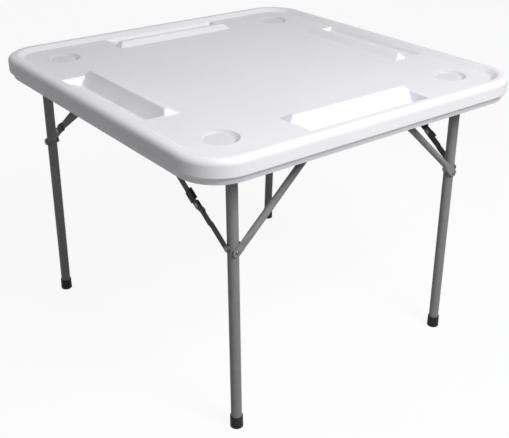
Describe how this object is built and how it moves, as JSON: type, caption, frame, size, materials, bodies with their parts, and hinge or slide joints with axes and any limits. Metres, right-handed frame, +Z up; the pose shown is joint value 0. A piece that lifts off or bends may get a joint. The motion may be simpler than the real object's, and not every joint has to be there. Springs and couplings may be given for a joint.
{
  "type": "folding game table",
  "caption": "Square folding game table with a moulded plastic top, tile racks and cup recesses in its rim, on steel leg pairs that fold up under it with locking braces.",
  "frame": {"origin": "On the floor, under the middle of the square top", "axes": "+Z up; +X along the crossbars to the right; +Y towards the wider leg pair, which folds first"},
  "size_m": [0.94, 0.94, 0.712],
  "materials": {
    "moulded_plastic": "fine moulded grain",
    "grey_powder_coat": "satin powder coat",
    "black_plastic": "matt moulded",
    "zinc_steel": "dull plated"
  },
  "bodies": {
    "root": {"table_top": "moulded_plastic", "hinge_strap_screws": "zinc_steel", "brace_bracket_screws": "zinc_steel", "brace_anchor_pins": "zinc_steel", "front_left_hinge_strap": "grey_powder_coat", "front_left_brace_bracket": "grey_powder_coat", "front_right_hinge_strap": "grey_powder_coat", "front_right_brace_bracket": "grey_powder_coat", "back_left_hinge_strap": "grey_powder_coat", "back_left_brace_bracket": "grey_powder_coat", "back_right_hinge_strap": "grey_powder_coat", "back_right_brace_bracket": "grey_powder_coat"},
    "front_leg_frame": {"front_crossbar": "grey_powder_coat", "front_crossbar_plugs": "black_plastic", "front_brace_rivets": "zinc_steel", "front_pivot_bolts": "zinc_steel", "front_pivot_spacers": "zinc_steel", "front_left_leg": "grey_powder_coat", "front_left_foot_cap": "black_plastic", "front_left_plain_brace": "grey_powder_coat", "front_right_leg": "grey_powder_coat", "front_right_foot_cap": "black_plastic", "front_right_plain_brace": "grey_powder_coat"},
    "front_left_upper_brace": {"front_left_upper_link": "grey_powder_coat", "front_left_knuckle_rivet": "zinc_steel", "front_left_knuckle_washer": "zinc_steel"},
    "front_left_lower_brace": {"front_left_lower_link": "grey_powder_coat", "front_left_end_rivet": "zinc_steel"},
    "front_left_brace_lock": {"front_left_lock_slider": "black_plastic"},
    "front_right_upper_brace": {"front_right_upper_link": "grey_powder_coat", "front_right_knuckle_rivet": "zinc_steel", "front_right_knuckle_washer": "zinc_steel"},
    "front_right_lower_brace": {"front_right_lower_link": "grey_powder_coat", "front_right_end_rivet": "zinc_steel"},
    "front_right_brace_lock": {"front_right_lock_slider": "black_plastic"},
    "back_leg_frame": {"back_crossbar": "grey_powder_coat", "back_crossbar_plugs": "black_plastic", "back_brace_rivets": "zinc_steel", "back_pivot_bolts": "zinc_steel", "back_pivot_spacers": "zinc_steel", "back_left_leg": "grey_powder_coat", "back_left_foot_cap": "black_plastic", "back_left_plain_brace": "grey_powder_coat", "back_right_leg": "grey_powder_coat", "back_right_foot_cap": "black_plastic", "back_right_plain_brace": "grey_powder_coat"},
    "back_left_upper_brace": {"back_left_upper_link": "grey_powder_coat", "back_left_knuckle_rivet": "zinc_steel", "back_left_knuckle_washer": "zinc_steel"},
    "back_left_lower_brace": {"back_left_lower_link": "grey_powder_coat", "back_left_end_rivet": "zinc_steel"},
    "back_left_brace_lock": {"back_left_lock_slider": "black_plastic"},
    "back_right_upper_brace": {"back_right_upper_link": "grey_powder_coat", "back_right_knuckle_rivet": "zinc_steel", "back_right_knuckle_washer": "zinc_steel"},
    "back_right_lower_brace": {"back_right_lower_link": "grey_powder_coat", "back_right_end_rivet": "zinc_steel"},
    "back_right_brace_lock": {"back_right_lock_slider": "black_plastic"}
  },
  "joints": [
    {"name": "front_legs_fold", "type": "hinge", "parent": "root", "child": "front_leg_frame", "pos_m": [0, -0.376, 0.643], "axis": [1, 0, 0], "range_deg": [0, 87]},
    {"name": "front_left_upper_link_turn", "type": "hinge", "parent": "root", "child": "front_left_upper_brace", "pos_m": [-0.3604, -0.11123, 0.648], "axis": [-1, 0, 0], "range_deg": [0, 22.05]},
    {"name": "front_left_knuckle_turn", "type": "hinge", "parent": "front_left_upper_brace", "child": "front_left_lower_brace", "pos_m": [-0.3604, -0.2847, 0.53274], "axis": [1, 0, 0], "range_deg": [0, 180]},
    {"name": "front_left_lock_slide", "type": "slide", "parent": "front_left_upper_brace", "child": "front_left_brace_lock", "axis": [0, 0.8329, 0.5534], "range_m": [-0.006, 0]},
    {"name": "front_right_upper_link_turn", "type": "hinge", "parent": "root", "child": "front_right_upper_brace", "pos_m": [0.3604, -0.11123, 0.648], "axis": [-1, 0, 0], "range_deg": [0, 22.05]},
    {"name": "front_right_knuckle_turn", "type": "hinge", "parent": "front_right_upper_brace", "child": "front_right_lower_brace", "pos_m": [0.3604, -0.2847, 0.53274], "axis": [1, 0, 0], "range_deg": [0, 180]},
    {"name": "front_right_lock_slide", "type": "slide", "parent": "front_right_upper_brace", "child": "front_right_brace_lock", "axis": [0, 0.8329, 0.5534], "range_m": [-0.006, 0]},
    {"name": "back_legs_fold", "type": "hinge", "parent": "root", "child": "back_leg_frame", "pos_m": [0, 0.376, 0.643], "axis": [-1, 0, 0], "range_deg": [0, 91.5]},
    {"name": "back_left_upper_link_turn", "type": "hinge", "parent": "root", "child": "back_left_upper_brace", "pos_m": [-0.4029, 0.11123, 0.648], "axis": [1, 0, 0], "range_deg": [0, 30.45]},
    {"name": "back_left_knuckle_turn", "type": "hinge", "parent": "back_left_upper_brace", "child": "back_left_lower_brace", "pos_m": [-0.4029, 0.28375, 0.53338], "axis": [-1, 0, 0], "range_deg": [0, 180]},
    {"name": "back_left_lock_slide", "type": "slide", "parent": "back_left_upper_brace", "child": "back_left_brace_lock", "axis": [0, -0.8329, 0.5534], "range_m": [-0.006, 0]},
    {"name": "back_right_upper_link_turn", "type": "hinge", "parent": "root", "child": "back_right_upper_brace", "pos_m": [0.4029, 0.11123, 0.648], "axis": [1, 0, 0], "range_deg": [0, 30.45]},
    {"name": "back_right_knuckle_turn", "type": "hinge", "parent": "back_right_upper_brace", "child": "back_right_lower_brace", "pos_m": [0.4029, 0.28375, 0.53338], "axis": [-1, 0, 0], "range_deg": [0, 180]},
    {"name": "back_right_lock_slide", "type": "slide", "parent": "back_right_upper_brace", "child": "back_right_brace_lock", "axis": [0, -0.8329, 0.5534], "range_m": [-0.006, 0]}
  ],
  "couplings": [
    {"joint": "front_left_upper_link_turn", "follows": "front_legs_fold", "ratio": 0.2535},
    {"joint": "front_left_knuckle_turn", "follows": "front_legs_fold", "ratio": 2.069},
    {"joint": "front_right_upper_link_turn", "follows": "front_legs_fold", "ratio": 0.2535},
    {"joint": "front_right_knuckle_turn", "follows": "front_legs_fold", "ratio": 2.069},
    {"joint": "back_left_upper_link_turn", "follows": "back_legs_fold", "ratio": 0.33276},
    {"joint": "back_left_knuckle_turn", "follows": "back_legs_fold", "ratio": 1.9672},
    {"joint": "back_right_upper_link_turn", "follows": "back_legs_fold", "ratio": 0.33276},
    {"joint": "back_right_knuckle_turn", "follows": "back_legs_fold", "ratio": 1.9672}
  ]
}
